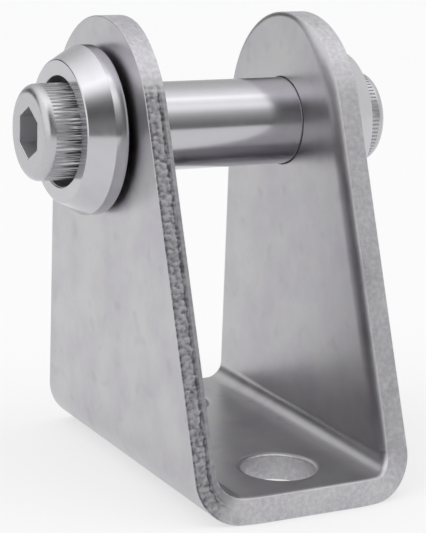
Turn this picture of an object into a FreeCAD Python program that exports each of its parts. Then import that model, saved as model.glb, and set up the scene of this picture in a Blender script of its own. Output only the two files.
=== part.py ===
"""Rear clevis mount for a small pneumatic cylinder.

A strip of stainless sheet is folded into a U: a flat base with two fixing holes and two
tapered ears with round tops. A pin lies in the ears' bores. At each end of the pin a bevelled
retaining washer is held by a knurled socket head cap screw, whose head sits in the washer's
counterbore. The pin, washers and screws turn together in the ears.

Frame: the origin is the centre of the base's underside, +Z points up to the pin, X runs
along the pin and -Y is the side where the ears' edges lean back.
"""

import FreeCAD, Part
import os

import Sketcher

# Every size that can be set by itself: millimetres, and degrees for angles.
DIMENSIONS = {
    "base_length": (32.0, "Base, measured across the pin"),
    "sheet_thickness": (2.4, "Sheet of the folded bracket"),
    "inner_bend_radius": (1.5, "Inside radius of both folds"),
    "clevis_gap": (16.2, "Clear width between the ears"),
    "pin_height": (30.0, "Pin axis above the base's underside"),
    "ear_top_radius": (10.0, "Round top of each ear, about the pin axis"),
    "flank_setback": (1.6, "Front flank's foot behind the base's front edge"),
    "fixing_hole_diameter": (6.6, "Holes for the fixing bolts"),
    "fixing_hole_pitch": (20.0, "Distance between the fixing holes"),
    "pin_diameter": (8.0, "Clevis pin"),
    "pin_running_clearance": (0.1, "Ear bore over pin, on the diameter"),
    "pin_end_chamfer": (0.4, "Chamfer on the pin's ends"),
    "axial_play": (0.6, "Total end play of the pin set in the bracket"),
    "pin_set_offset": (-0.1, "Rest position of the pin set along the pin axis"),
    "washer_diameter": (15.0, "Retaining washer"),
    "washer_thickness": (3.5, "Retaining washer, back face to outer face"),
    "washer_rim_width": (1.4, "Straight rim below the bevel"),
    "washer_bevel_angle": (30.0, "Bevel to the washer's axis"),
    "washer_edge_break": (0.15, "Small chamfer on the washer's turned edges"),
    "counterbore_diameter": (9.7, "Recess for the screw head"),
    "counterbore_floor": (1.35, "Washer metal under the screw head"),
    "screw_hole_clearance": (0.3, "Washer hole over thread, on the diameter"),
    "thread_diameter": (5.0, "Screw thread, M5"),
    "thread_clearance": (0.04, "Tapped hole over screw shank, on the diameter"),
    "screw_length": (8.0, "Screw shank under the head"),
    "screw_tip_chamfer": (0.5, "Chamfer on the end of the thread"),
    "tapped_depth": (7.0, "Full thread in the pin's ends"),
    "drill_tip_length": (1.5, "Cone left by the tapping drill"),
    "tapped_mouth_chamfer": (0.3, "Countersink of the tapped holes"),
    "head_diameter": (8.5, "Screw head over the knurl"),
    "head_height": (5.0, "Screw head"),
    "head_edge_chamfer": (0.4, "Broken outer edge of the head"),
    "head_seat_chamfer": (0.2, "Chamfer under the head"),
    "hex_across_flats": (4.0, "Hexagon socket"),
    "hex_depth": (2.5, "Hexagon socket depth"),
    "hex_drill_tip": (1.0, "Cone at the bottom of the socket"),
    "knurl_depth": (0.15, "Depth of one knurl groove"),
    "knurl_groove_width": (0.36, "Width of one knurl groove at the head's surface"),
    "knurl_collar": (0.65, "Plain collar between the knurl and the head's end face"),
}

# The number of straight grooves round a screw head.
KNURL_GROOVES = 54

# How far a cutting outline reaches past the metal that it removes.
OVERCUT = 2.0

# Places worked out from the driving dimensions, as expressions for the document.
HALF_LENGTH = "dimensions.base_length / 2"
PIN_Y = "dimensions.base_length / 2 - dimensions.ear_top_radius"
HALF_GAP = "dimensions.clevis_gap / 2"
OUTER_X = "dimensions.clevis_gap / 2 + dimensions.sheet_thickness"
EAR_TOP = "dimensions.pin_height + dimensions.ear_top_radius"
BEND_TOP = "dimensions.sheet_thickness + dimensions.inner_bend_radius"
PIN_HALF = ("(dimensions.clevis_gap + 2 * dimensions.sheet_thickness"
            " + dimensions.axial_play) / 2")
BEVEL_DEPTH = ("(dimensions.washer_thickness - dimensions.washer_rim_width)"
               " * tan(dimensions.washer_bevel_angle)")


def fill_sheet(doc):
    """Put the driving dimensions into a spreadsheet, one aliased cell for each."""
    sheet = doc.addObject("Spreadsheet::Sheet", "dimensions")
    for row, (alias, (value, note)) in enumerate(DIMENSIONS.items(), start=1):
        sheet.set(f"A{row}", alias)
        sheet.set(f"B{row}", str(value))
        sheet.set(f"C{row}", note)
        sheet.setAlias(f"B{row}", alias)
    doc.recompute()
    return sheet


def value_of(obj, expression):
    """Number that an expression gives in the document."""
    return float(obj.evalExpression(expression))


def new_body(doc, label):
    """Empty body named after its sub-part."""
    body = doc.addObject("PartDesign::Body", label)
    body.Label = label
    return body


def origin_plane(body, role):
    """One of the body's own origin planes, found by its role."""
    return next(item for item in body.Origin.OriginFeatures if item.Role == role)


def new_sketch(body, name, role, offset=(None, None, None)):
    """Sketch on an origin plane of the body, moved by up to three expressions.

    The offsets are along the sketch's own right, up and normal directions.
    """
    sketch = body.newObject("Sketcher::SketchObject", name)
    sketch.AttachmentSupport = [(origin_plane(body, role), "")]
    sketch.MapMode = "FlatFace"
    for axis, expression in zip("xyz", offset):
        if expression:
            sketch.setExpression(f"AttachmentOffset.Base.{axis}", expression)
    return sketch


def bind(sketch, constraint, expression):
    """Add a dimension to a sketch and drive it by an expression."""
    index = sketch.addConstraint(constraint)
    sketch.setExpression(f"Constraints[{index}]", expression)


def pin_point(sketch, geometry, end, place):
    """Hold one end of a sketch line at a place given as two expressions."""
    for kind, expression in zip(("DistanceX", "DistanceY"), place):
        value = value_of(sketch, expression)
        bind(sketch, Sketcher.Constraint(kind, -1, 1, geometry, end, value), expression)


def draw_outline(sketch, corners):
    """Closed outline of straight lines whose corners are pairs of expressions."""
    points = [FreeCAD.Vector(value_of(sketch, u), value_of(sketch, v), 0) for u, v in corners]
    following = points[1:] + points[:1]
    lines = [sketch.addGeometry(Part.LineSegment(p, q), False) for p, q in zip(points, following)]
    for line, after in zip(lines, lines[1:] + lines[:1]):
        sketch.addConstraint(Sketcher.Constraint("Coincident", line, 2, after, 1))
    for line, place in zip(lines, corners):
        pin_point(sketch, line, 1, place)


def draw_circle(sketch, centre, diameter):
    """Circle with its centre and diameter given by expressions."""
    middle = FreeCAD.Vector(value_of(sketch, centre[0]), value_of(sketch, centre[1]), 0)
    radius = value_of(sketch, diameter) / 2
    circle = sketch.addGeometry(Part.Circle(middle, FreeCAD.Vector(0, 0, 1), radius), False)
    pin_point(sketch, circle, 3, centre)
    bind(sketch, Sketcher.Constraint("Diameter", circle, 2 * radius), diameter)


def add_feature(body, kind, name, profile, **settings):
    """PartDesign feature on a sketch, with its settings."""
    feature = body.newObject(f"PartDesign::{kind}", name)
    feature.Profile = profile
    for setting, value in settings.items():
        setattr(feature, setting, value)
    return feature


def turn_profile(body, kind, name, corners):
    """Revolve, or groove, a half profile drawn as (along X, radius) about the X axis."""
    sketch = new_sketch(body, f"{name}_profile", "XY_Plane")
    draw_outline(sketch, corners)
    return add_feature(body, kind, name, sketch, ReferenceAxis=(sketch, ["H_Axis"]), Angle=360.0)


def edges_where(feature, test):
    """Names of a feature's edges that pass a test."""
    edges = feature.Shape.Edges
    return [f"Edge{number}" for number, edge in enumerate(edges, start=1) if test(edge)]


def dress_edges(body, kind, name, base, test, size_name, expression):
    """Fillet or chamfer on the edges of the last feature that pass a test."""
    feature = body.newObject(f"PartDesign::{kind}", name)
    feature.Base = (base, edges_where(base, test))
    feature.setExpression(size_name, expression)
    body.Document.recompute()
    return feature


def near(first, second):
    """True when two lengths agree to a thousandth of a millimetre."""
    return abs(first - second) < 1e-3


def is_circle_at(edge, along, radius):
    """True for a full turned edge of one radius at one place along the X axis."""
    curve = edge.Curve
    if not isinstance(curve, Part.Circle):
        return False
    return near(curve.Center.x, along) and near(curve.Radius, radius)


def is_crease(edge, across, height):
    """True for a straight edge along Y at one X, left or right, and one height."""
    ends = [vertex.Point for vertex in edge.Vertexes]
    if len(ends) != 2 or not near(ends[0].x, ends[1].x):
        return False
    return all(near(abs(end.x), across) and near(end.z, height) for end in ends)


def make_bracket(doc):
    """Folded sheet: base, two folds and two tapered ears with round tops."""
    body = new_body(doc, "clevis_bracket")

    # The U section runs the whole length of the base and rises past the ears' tops.
    section = new_sketch(body, "fold_section", "XZ_Plane")
    blank_top = f"{EAR_TOP} + {OVERCUT}"
    draw_outline(section, [
        (f"-({OUTER_X})", "0"), (OUTER_X, "0"), (OUTER_X, blank_top), (HALF_GAP, blank_top),
        (HALF_GAP, "dimensions.sheet_thickness"), (f"-({HALF_GAP})", "dimensions.sheet_thickness"),
        (f"-({HALF_GAP})", blank_top), (f"-({OUTER_X})", blank_top)])
    strip = add_feature(body, "Pad", "folded_strip", section, SideType="Symmetric")
    strip.setExpression("Length", "dimensions.base_length")
    doc.recompute()

    inner = (value_of(body, HALF_GAP), value_of(body, "dimensions.sheet_thickness"))
    outer = (value_of(body, OUTER_X), 0.0)
    inner_folds = dress_edges(body, "Fillet", "inner_folds", strip,
                              lambda edge: is_crease(edge, *inner),
                              "Radius", "dimensions.inner_bend_radius")
    outer_folds = dress_edges(body, "Fillet", "outer_folds", inner_folds,
                              lambda edge: is_crease(edge, *outer), "Radius", BEND_TOP)

    # Everything in front of and above the ears' outline is cut away above the folds.
    trim = new_sketch(body, "ear_outline", "YZ_Plane")
    draw_ear_trim(trim)
    ears = add_feature(body, "Pocket", "ears", trim, SideType="Symmetric")
    ears.setExpression("Length", f"2 * ({OUTER_X} + {OVERCUT})")
    doc.recompute()

    # The sloping front edge carries on round each fold until it meets the base's front edge.
    taper_sketch = new_sketch(
        body, "fold_taper_section", "XY_Plane",
        (f"{HALF_GAP} - dimensions.inner_bend_radius", None, BEND_TOP))
    front = f"-({HALF_LENGTH})"
    taper_start = "dimensions.inner_bend_radius / 2"
    taper_end = f"{BEND_TOP} + {OVERCUT}"
    draw_outline(taper_sketch, [
        (taper_start, f"{front} + dimensions.flank_setback"),
        (taper_end, f"{front} + dimensions.flank_setback"),
        (taper_end, f"{front} - {OVERCUT}"), (taper_start, f"{front} - {OVERCUT}")])
    taper = add_feature(body, "SubtractiveHelix", "fold_taper", taper_sketch,
                        ReferenceAxis=(taper_sketch, ["V_Axis"]), Mode="pitch-turns-angle",
                        Turns=0.25, LeftHanded=True, Reversed=True)
    taper.setExpression("Pitch", "4 * dimensions.flank_setback")
    doc.recompute()
    tapers = body.newObject("PartDesign::Mirrored", "fold_tapers")
    tapers.Originals = [taper]
    tapers.MirrorPlane = (origin_plane(body, "YZ_Plane"), [""])
    body.Tip = tapers
    doc.recompute()

    bore_sketch = new_sketch(body, "pin_bore_circle", "YZ_Plane")
    draw_circle(bore_sketch, (PIN_Y, "dimensions.pin_height"),
                "dimensions.pin_diameter + dimensions.pin_running_clearance")
    bores = add_feature(body, "Pocket", "pin_bores", bore_sketch, SideType="Symmetric")
    bores.setExpression("Length", f"2 * ({OUTER_X} + {OVERCUT})")

    hole_sketch = new_sketch(body, "fixing_hole_circle", "XY_Plane")
    draw_circle(hole_sketch, ("0", "-dimensions.fixing_hole_pitch / 2"),
                "dimensions.fixing_hole_diameter")
    hole = add_feature(body, "Pocket", "front_fixing_hole", hole_sketch, Reversed=True)
    hole.setExpression("Length", f"dimensions.sheet_thickness + {OVERCUT}")
    doc.recompute()
    holes = body.newObject("PartDesign::LinearPattern", "fixing_holes")
    holes.Originals = [hole]
    holes.Direction = (hole_sketch, ["V_Axis"])
    holes.Occurrences = 2
    holes.setExpression("Length", "dimensions.fixing_hole_pitch")
    body.Tip = holes
    doc.recompute()
    return body


def draw_ear_trim(sketch):
    """Outline of the waste round the ears: sloping flank, round top and an outer frame."""
    half = value_of(sketch, HALF_LENGTH)
    foot = FreeCAD.Vector(-half + value_of(sketch, "dimensions.flank_setback"),
                          value_of(sketch, BEND_TOP), 0)
    centre = FreeCAD.Vector(value_of(sketch, PIN_Y), value_of(sketch, "dimensions.pin_height"), 0)
    radius = value_of(sketch, "dimensions.ear_top_radius")

    # First guess of the point where the flank runs into the round top.
    touch = centre + FreeCAD.Vector(-radius, radius / 3, 0).normalize() * radius
    back = centre + FreeCAD.Vector(radius, 0, 0)
    middle = centre + FreeCAD.Vector(0, radius, 0)
    flank = sketch.addGeometry(Part.LineSegment(foot, touch), False)
    top = sketch.addGeometry(Part.Arc(touch, middle, back), False)

    outside = half + OVERCUT
    above = value_of(sketch, EAR_TOP) + 2 * OVERCUT
    corners = [back, FreeCAD.Vector(outside, back.y, 0), FreeCAD.Vector(outside, above, 0),
               FreeCAD.Vector(-outside, above, 0), FreeCAD.Vector(-outside, foot.y, 0), foot]
    frame = [sketch.addGeometry(Part.LineSegment(p, q), False)
             for p, q in zip(corners, corners[1:])]
    for line, after in zip(frame, frame[1:]):
        sketch.addConstraint(Sketcher.Constraint("Coincident", line, 2, after, 1))
    sketch.addConstraint(Sketcher.Constraint("Coincident", frame[-1], 2, flank, 1))

    # The arc runs clockwise from the flank to the back, so its start is the back end.
    sketch.addConstraint(Sketcher.Constraint("Tangent", flank, 2, top, 2))
    sketch.addConstraint(Sketcher.Constraint("Coincident", frame[0], 1, top, 1))
    pin_point(sketch, top, 3, (PIN_Y, "dimensions.pin_height"))
    bind(sketch, Sketcher.Constraint("Radius", top, radius), "dimensions.ear_top_radius")
    pin_point(sketch, flank, 1, (f"-({HALF_LENGTH}) + dimensions.flank_setback", BEND_TOP))
    for line in (frame[0], frame[2], frame[4]):
        sketch.addConstraint(Sketcher.Constraint("Horizontal", line))
    for line in (frame[1], frame[3]):
        sketch.addConstraint(Sketcher.Constraint("Vertical", line))
    sketch.addConstraint(Sketcher.Constraint("Horizontal", top, 3, top, 1))
    pin_point(sketch, frame[1], 2, (f"{HALF_LENGTH} + {OVERCUT}", f"{EAR_TOP} + {2 * OVERCUT}"))
    bind(sketch, Sketcher.Constraint("DistanceX", -1, 1, frame[3], 1, -outside),
         f"-({HALF_LENGTH} + {OVERCUT})")


def make_pin(doc):
    """Plain pin with chamfered ends and a tapped blind hole in each end."""
    body = new_body(doc, "clevis_pin")
    radius = "dimensions.pin_diameter / 2"
    chamfer = "dimensions.pin_end_chamfer"
    thread = "dimensions.thread_diameter / 2"
    mouth = "dimensions.tapped_mouth_chamfer"
    right_half = [
        (f"{PIN_HALF} - {chamfer}", radius),
        (PIN_HALF, f"{radius} - {chamfer}"),
        (PIN_HALF, f"{thread} + {mouth}"),
        (f"{PIN_HALF} - {mouth}", thread),
        (f"{PIN_HALF} - dimensions.tapped_depth", thread),
        (f"{PIN_HALF} - dimensions.tapped_depth - dimensions.drill_tip_length", "0")]
    left_half = [(f"-({along})", out) for along, out in reversed(right_half)]
    turn_profile(body, "Revolution", "pin_turning", right_half + left_half)
    body.setExpression("Placement.Base.x", "dimensions.pin_set_offset")
    body.setExpression("Placement.Base.y", PIN_Y)
    body.setExpression("Placement.Base.z", "dimensions.pin_height")
    return body


def place_at_end(body, side, outward):
    """Put a piece on the pin axis, facing out at the left (-1) or right (+1) end."""
    if side < 0:
        body.Placement = FreeCAD.Placement(
            FreeCAD.Vector(), FreeCAD.Rotation(FreeCAD.Vector(0, 0, 1), 180))
    place = f"dimensions.pin_set_offset + {side} * ({outward})"
    body.setExpression("Placement.Base.x", place)
    body.setExpression("Placement.Base.y", PIN_Y)
    body.setExpression("Placement.Base.z", "dimensions.pin_height")


def make_washer(doc, label, side):
    """Retaining washer: straight rim, bevel, and a counterbore for the screw head."""
    body = new_body(doc, label)
    hole = "(dimensions.thread_diameter + dimensions.screw_hole_clearance) / 2"
    rim = "dimensions.washer_diameter / 2"
    recess = "dimensions.counterbore_diameter / 2"
    floor = "dimensions.counterbore_floor"
    face = "dimensions.washer_thickness"
    turning = turn_profile(body, "Revolution", "washer_turning", [
        ("0", hole), ("0", rim), ("dimensions.washer_rim_width", rim),
        (face, f"{rim} - {BEVEL_DEPTH}"), (face, recess), (floor, recess), (floor, hole)])
    doc.recompute()

    rim_radius = value_of(body, rim)
    face_at = value_of(body, face)
    turned_edges = [
        (0.0, rim_radius), (value_of(body, "dimensions.washer_rim_width"), rim_radius),
        (face_at, value_of(body, f"{rim} - {BEVEL_DEPTH}")), (face_at, value_of(body, recess))]
    dress_edges(body, "Chamfer", "washer_edges", turning,
                lambda edge: any(is_circle_at(edge, *place) for place in turned_edges),
                "Size", "dimensions.washer_edge_break")
    place_at_end(body, side, PIN_HALF)
    return body


def make_screw(doc, label, side):
    """Socket head cap screw with a knurled head. Its seat is at local X = 0."""
    body = new_body(doc, label)
    shank = "(dimensions.thread_diameter - dimensions.thread_clearance) / 2"
    tip = "dimensions.screw_tip_chamfer"
    head = "dimensions.head_diameter / 2"
    height = "dimensions.head_height"
    under = "dimensions.head_seat_chamfer"
    turning = turn_profile(body, "Revolution", "screw_turning", [
        ("-dimensions.screw_length", "0"), ("-dimensions.screw_length", f"{shank} - {tip}"),
        (f"-dimensions.screw_length + {tip}", shank), ("0", shank), ("0", f"{head} - {under}"),
        (under, head), (height, head), (height, "0")])
    doc.recompute()
    end_edge = (value_of(body, height), value_of(body, head))
    dress_edges(body, "Chamfer", "head_edge", turning,
                lambda edge: is_circle_at(edge, *end_edge),
                "Size", "dimensions.head_edge_chamfer")

    # The hexagon stands with one corner up, and is cut in from the head's end face.
    hexagon = new_sketch(body, "socket_hexagon", "YZ_Plane", (None, None, height))
    corner = "dimensions.hex_across_flats / sqrt(3)"
    flat = "dimensions.hex_across_flats / 2"
    draw_outline(hexagon, [
        ("0", corner), (f"-{flat}", f"{corner} / 2"), (f"-{flat}", f"-{corner} / 2"),
        ("0", f"-{corner}"), (flat, f"-{corner} / 2"), (flat, f"{corner} / 2")])
    socket = add_feature(body, "Pocket", "socket", hexagon)
    socket.setExpression("Length", "dimensions.hex_depth")

    # The drill that went before the broach leaves a cone at the socket's bottom.
    bottom = f"{height} - dimensions.hex_depth"
    turn_profile(body, "Groove", "socket_drill_tip", [
        (bottom, "0"), (bottom, flat), (f"{bottom} - dimensions.hex_drill_tip", "0")])

    # One knurl groove is cut along the head and repeated round it.
    groove_sketch = new_sketch(
        body, "knurl_groove_section", "YZ_Plane",
        (None, None, f"{height} - dimensions.knurl_collar"))
    outside = "dimensions.knurl_depth"
    half_width = ("dimensions.knurl_groove_width / 2"
                  f" * (dimensions.knurl_depth + {outside}) / dimensions.knurl_depth")
    draw_outline(groove_sketch, [
        ("0", f"{head} - dimensions.knurl_depth"), (half_width, f"{head} + {outside}"),
        (f"-{half_width}", f"{head} + {outside}")])
    groove = add_feature(body, "Pocket", "knurl_groove", groove_sketch)
    groove.setExpression("Length", height)
    doc.recompute()
    knurl = body.newObject("PartDesign::PolarPattern", "knurl")
    knurl.Originals = [groove]
    knurl.Axis = (groove_sketch, ["N_Axis"])
    knurl.Angle = 360.0
    knurl.Occurrences = KNURL_GROOVES
    body.Tip = knurl
    place_at_end(body, side, f"{PIN_HALF} + dimensions.counterbore_floor")
    return body


def check_document(doc, bodies):
    """Stop if any object failed, or a sub-part isn't one valid solid."""
    for item in doc.Objects:
        if "Invalid" in item.State or "Error" in item.State:
            raise RuntimeError(f"{item.Name} failed to recompute: {item.State}")
    for body in bodies:
        shape = body.Shape
        if shape.isNull() or not shape.isValid() or len(shape.Solids) != 1:
            raise RuntimeError(f"{body.Label} isn't one valid solid")


def main():
    """Build the document and write each sub-part as a STEP file."""
    doc = FreeCAD.newDocument("rear_clevis_mount")
    fill_sheet(doc)
    bodies = [make_bracket(doc), make_pin(doc)]
    for side_name, side in (("left", -1), ("right", 1)):
        bodies.append(make_washer(doc, f"{side_name}_retaining_washer", side))
        bodies.append(make_screw(doc, f"{side_name}_cap_screw", side))
    doc.recompute()
    check_document(doc, bodies)
    os.makedirs("parts", exist_ok=True)
    for body in bodies:
        body.Shape.exportStep(f"parts/{body.Label}.step")
        box = body.Shape.BoundBox
        print(f"{body.Label}: volume {body.Shape.Volume:.2f} mm3, "
              f"x {box.XMin:.2f} to {box.XMax:.2f}, y {box.YMin:.2f} to {box.YMax:.2f}, "
              f"z {box.ZMin:.2f} to {box.ZMax:.2f}")


main()
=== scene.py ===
"""Looks of a rear clevis mount for a small pneumatic cylinder.

A strip of stainless sheet is folded to a U with two tapered ears. A ground pin lies in the
ears' bores, and at each end of it a bevelled washer is held by a knurled socket head screw.
Every piece is a mesh of its own at the size and place that the frame gives. The studio is a
pale floor under soft light, seen from the photograph's angle.
"""

import logging
import math
from collections.abc import Iterable, Sequence
from dataclasses import dataclass, field
from enum import Enum

import bpy
import numpy as np
from mathutils import Euler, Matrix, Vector, noise
from mathutils.geometry import delaunay_2d_cdt


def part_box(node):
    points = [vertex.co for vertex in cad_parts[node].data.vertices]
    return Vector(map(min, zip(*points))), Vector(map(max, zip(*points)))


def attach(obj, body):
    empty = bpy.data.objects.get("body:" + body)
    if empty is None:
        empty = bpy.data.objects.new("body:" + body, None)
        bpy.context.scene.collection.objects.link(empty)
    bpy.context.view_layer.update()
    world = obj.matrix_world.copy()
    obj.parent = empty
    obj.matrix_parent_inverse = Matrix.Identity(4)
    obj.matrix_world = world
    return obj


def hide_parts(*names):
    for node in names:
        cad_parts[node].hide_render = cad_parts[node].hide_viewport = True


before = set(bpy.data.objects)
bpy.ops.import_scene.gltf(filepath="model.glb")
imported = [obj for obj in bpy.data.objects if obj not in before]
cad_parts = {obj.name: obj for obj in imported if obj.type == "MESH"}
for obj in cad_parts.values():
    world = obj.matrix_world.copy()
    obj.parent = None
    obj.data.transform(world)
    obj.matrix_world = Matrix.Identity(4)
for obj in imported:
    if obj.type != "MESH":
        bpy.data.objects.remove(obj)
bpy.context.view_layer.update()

LOG = logging.getLogger("clevis_mount")

MM = 0.001
FULL_TURN = 2 * math.pi

# Distance of the extra points that keep a flat's shading flat beside a rounding.
GUARD = 0.03 * MM
# Steps of one rounding on a turned profile.
ARC_STEPS = 6
# Share of a drilled hole's radius at which its cone ends beside the point on the axis.
TIP_SHARE = 0.02
# Nearness, in millimetres, that the triangulation works with.
NEARNESS = 1e-7


class Side(Enum):
    """End of the pin: the left one faces -X, and the right one +X."""

    LEFT = -1
    RIGHT = 1


def linear_colour(hex_colour: str) -> tuple[float, float, float, float]:
    """Turn an sRGB hex colour into linear light.

    Args:
        hex_colour: Six hex digits after a hash sign.

    Returns:
        Red, green, blue and an alpha of one.
    """
    parts = [int(hex_colour[start:start + 2], 16) / 255 for start in (1, 3, 5)]
    red, green, blue = (c / 12.92 if c <= 0.04045 else ((c + 0.055) / 1.055) ** 2.4 for c in parts)
    return red, green, blue, 1.0


def grain_scale(size: float) -> float:
    """Texture scale whose grain has a size in metres."""
    return 1.0 / size


def add_node(tree: bpy.types.NodeTree, kind: str, inputs: dict | None = None,
             **settings: object) -> bpy.types.Node:
    """Add a node with its settings and links.

    Args:
        tree: Node tree that gets the node.
        kind: Blender's name of the node type.
        inputs: Value, or output socket to link, for each input by name or number.
        **settings: Properties of the node.

    Returns:
        The new node.
    """
    node = tree.nodes.new(kind)
    for name, value in settings.items():
        setattr(node, name, value)
    for name, value in (inputs or {}).items():
        if isinstance(value, bpy.types.NodeSocket):
            tree.links.new(value, node.inputs[name])
        else:
            node.inputs[name].default_value = value
    return node


def smooth_step(value: np.ndarray, start: float, end: float) -> np.ndarray:
    """Smooth rise from 0 at start to 1 at end."""
    share = np.clip((value - start) / (end - start), 0.0, 1.0)
    return share * share * (3 - 2 * share)


def noise_field(points: np.ndarray, grain: float, seed: float) -> np.ndarray:
    """Smooth noise from -1 to 1 at points in space.

    Args:
        points: One row of three coordinates for each point, in metres.
        grain: Size of the noise's features, in metres.
        seed: Shift that picks another part of the noise.

    Returns:
        One value for each point.
    """
    shift = Vector((seed, -seed, 0.5 * seed))
    return np.array([noise.noise(Vector(point) + shift) for point in (points / grain).tolist()])


def mesh_object(name: str, points: np.ndarray, faces: Iterable[Sequence[int]],
                material: bpy.types.Material) -> bpy.types.Object:
    """Make a smooth-shaded mesh object with one material.

    Args:
        name: Name of the object.
        points: One row of X, Y and Z for each vertex, in metres.
        faces: Vertex numbers of each face, seen from outside anticlockwise.
        material: Material of all faces.

    Returns:
        The object, linked to the scene.
    """
    mesh = bpy.data.meshes.new(name)
    mesh.from_pydata(points.tolist(), [], list(faces))
    mesh.materials.append(material)
    mesh.shade_smooth()
    mesh.update()
    obj = bpy.data.objects.new(name, mesh)
    bpy.context.scene.collection.objects.link(obj)
    return obj


def add_point_values(obj: bpy.types.Object, name: str, values: np.ndarray) -> None:
    """Store one number for each vertex, which a material can read.

    Args:
        obj: Mesh object.
        name: Name of the attribute.
        values: One number for each vertex.
    """
    layer = obj.data.attributes.new(name, "FLOAT", "POINT")
    layer.data.foreach_set("value", values.astype(np.float32))


# Finishes.


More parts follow.
